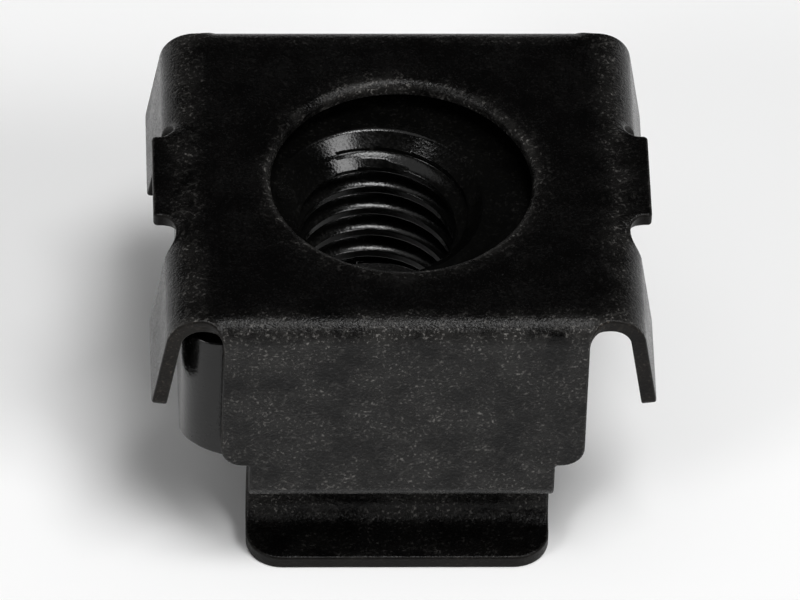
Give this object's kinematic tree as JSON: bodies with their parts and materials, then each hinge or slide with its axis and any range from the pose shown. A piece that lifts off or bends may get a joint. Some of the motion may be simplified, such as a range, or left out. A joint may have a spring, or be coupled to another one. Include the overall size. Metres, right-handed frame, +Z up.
{
  "type": "cage nut",
  "caption": "Square nut that floats in a folded spring steel cage; the cage's necks and lips clip into a square hole of an equipment rack, and a machine screw threads in.",
  "frame": {"origin": "centre of the bounding box at its bottom, where the two lips stand", "axes": "+X from flange to flange, the longest way; +Y from leg to leg; +Z up through the top plate, the shortest way"},
  "size_m": [0.0132, 0.0116, 0.0092],
  "materials": {
    "cage": "black plated spring steel, semi-gloss",
    "nut": "black plated steel, semi-gloss"
  },
  "bodies": {
    "cage": {"cage": "cage"},
    "nut": {"nut": "nut"}
  },
  "joints": [
    {"name": "nut_float", "type": "slide", "parent": "cage", "child": "nut", "axis": [1, 0, 0], "range_m": [0, 0.00114]}
  ]
}
